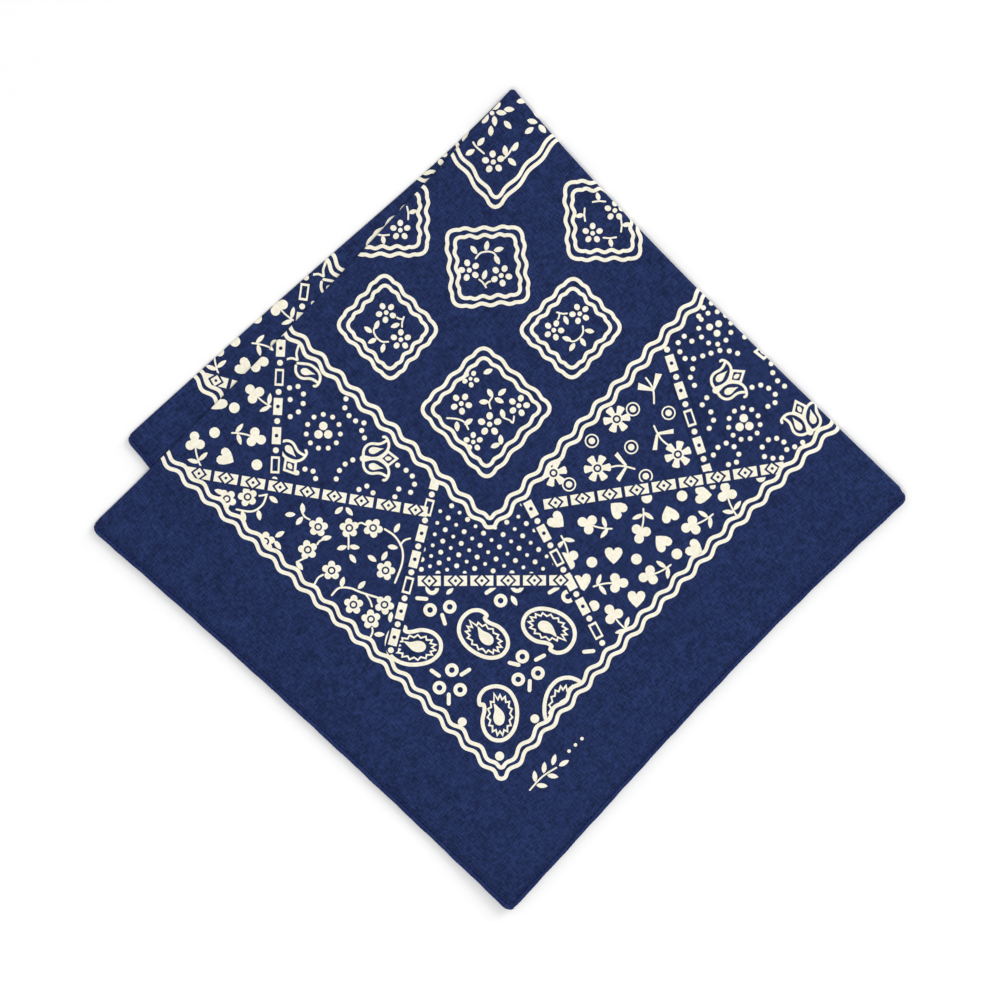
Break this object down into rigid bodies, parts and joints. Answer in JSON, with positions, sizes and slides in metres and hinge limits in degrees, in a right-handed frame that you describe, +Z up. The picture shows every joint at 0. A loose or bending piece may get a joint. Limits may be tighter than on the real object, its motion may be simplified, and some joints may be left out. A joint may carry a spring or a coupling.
{
  "type": "folded bandana",
  "caption": "Square printed cotton bandana, folded in quarters and laid flat, with rolled hems and its second fold peeking out along one side.",
  "frame": {"origin": "on the surface it lies on, under the middle of the folded cloth's outline", "axes": "+Z up, +Y towards the cloth's own centre, where both folds meet, -Y towards its free corners, +X to the right of that seen from above"},
  "size_m": [0.3921, 0.3964, 0.005],
  "materials": {
    "printed_cotton": "plain-weave cotton, navy with an off-white print",
    "hem_cotton": "the same cotton turned twice and stitched in navy thread",
    "inner_cotton": "the same cotton, its folded-in quarters"
  },
  "bodies": {
    "root": {"top_quarter": "printed_cotton", "second_fold": "printed_cotton", "hidden_layers": "inner_cotton", "hem_lower_left": "hem_cotton", "hem_lower_right": "hem_cotton", "hem_second_fold": "hem_cotton"}
  },
  "joints": []
}
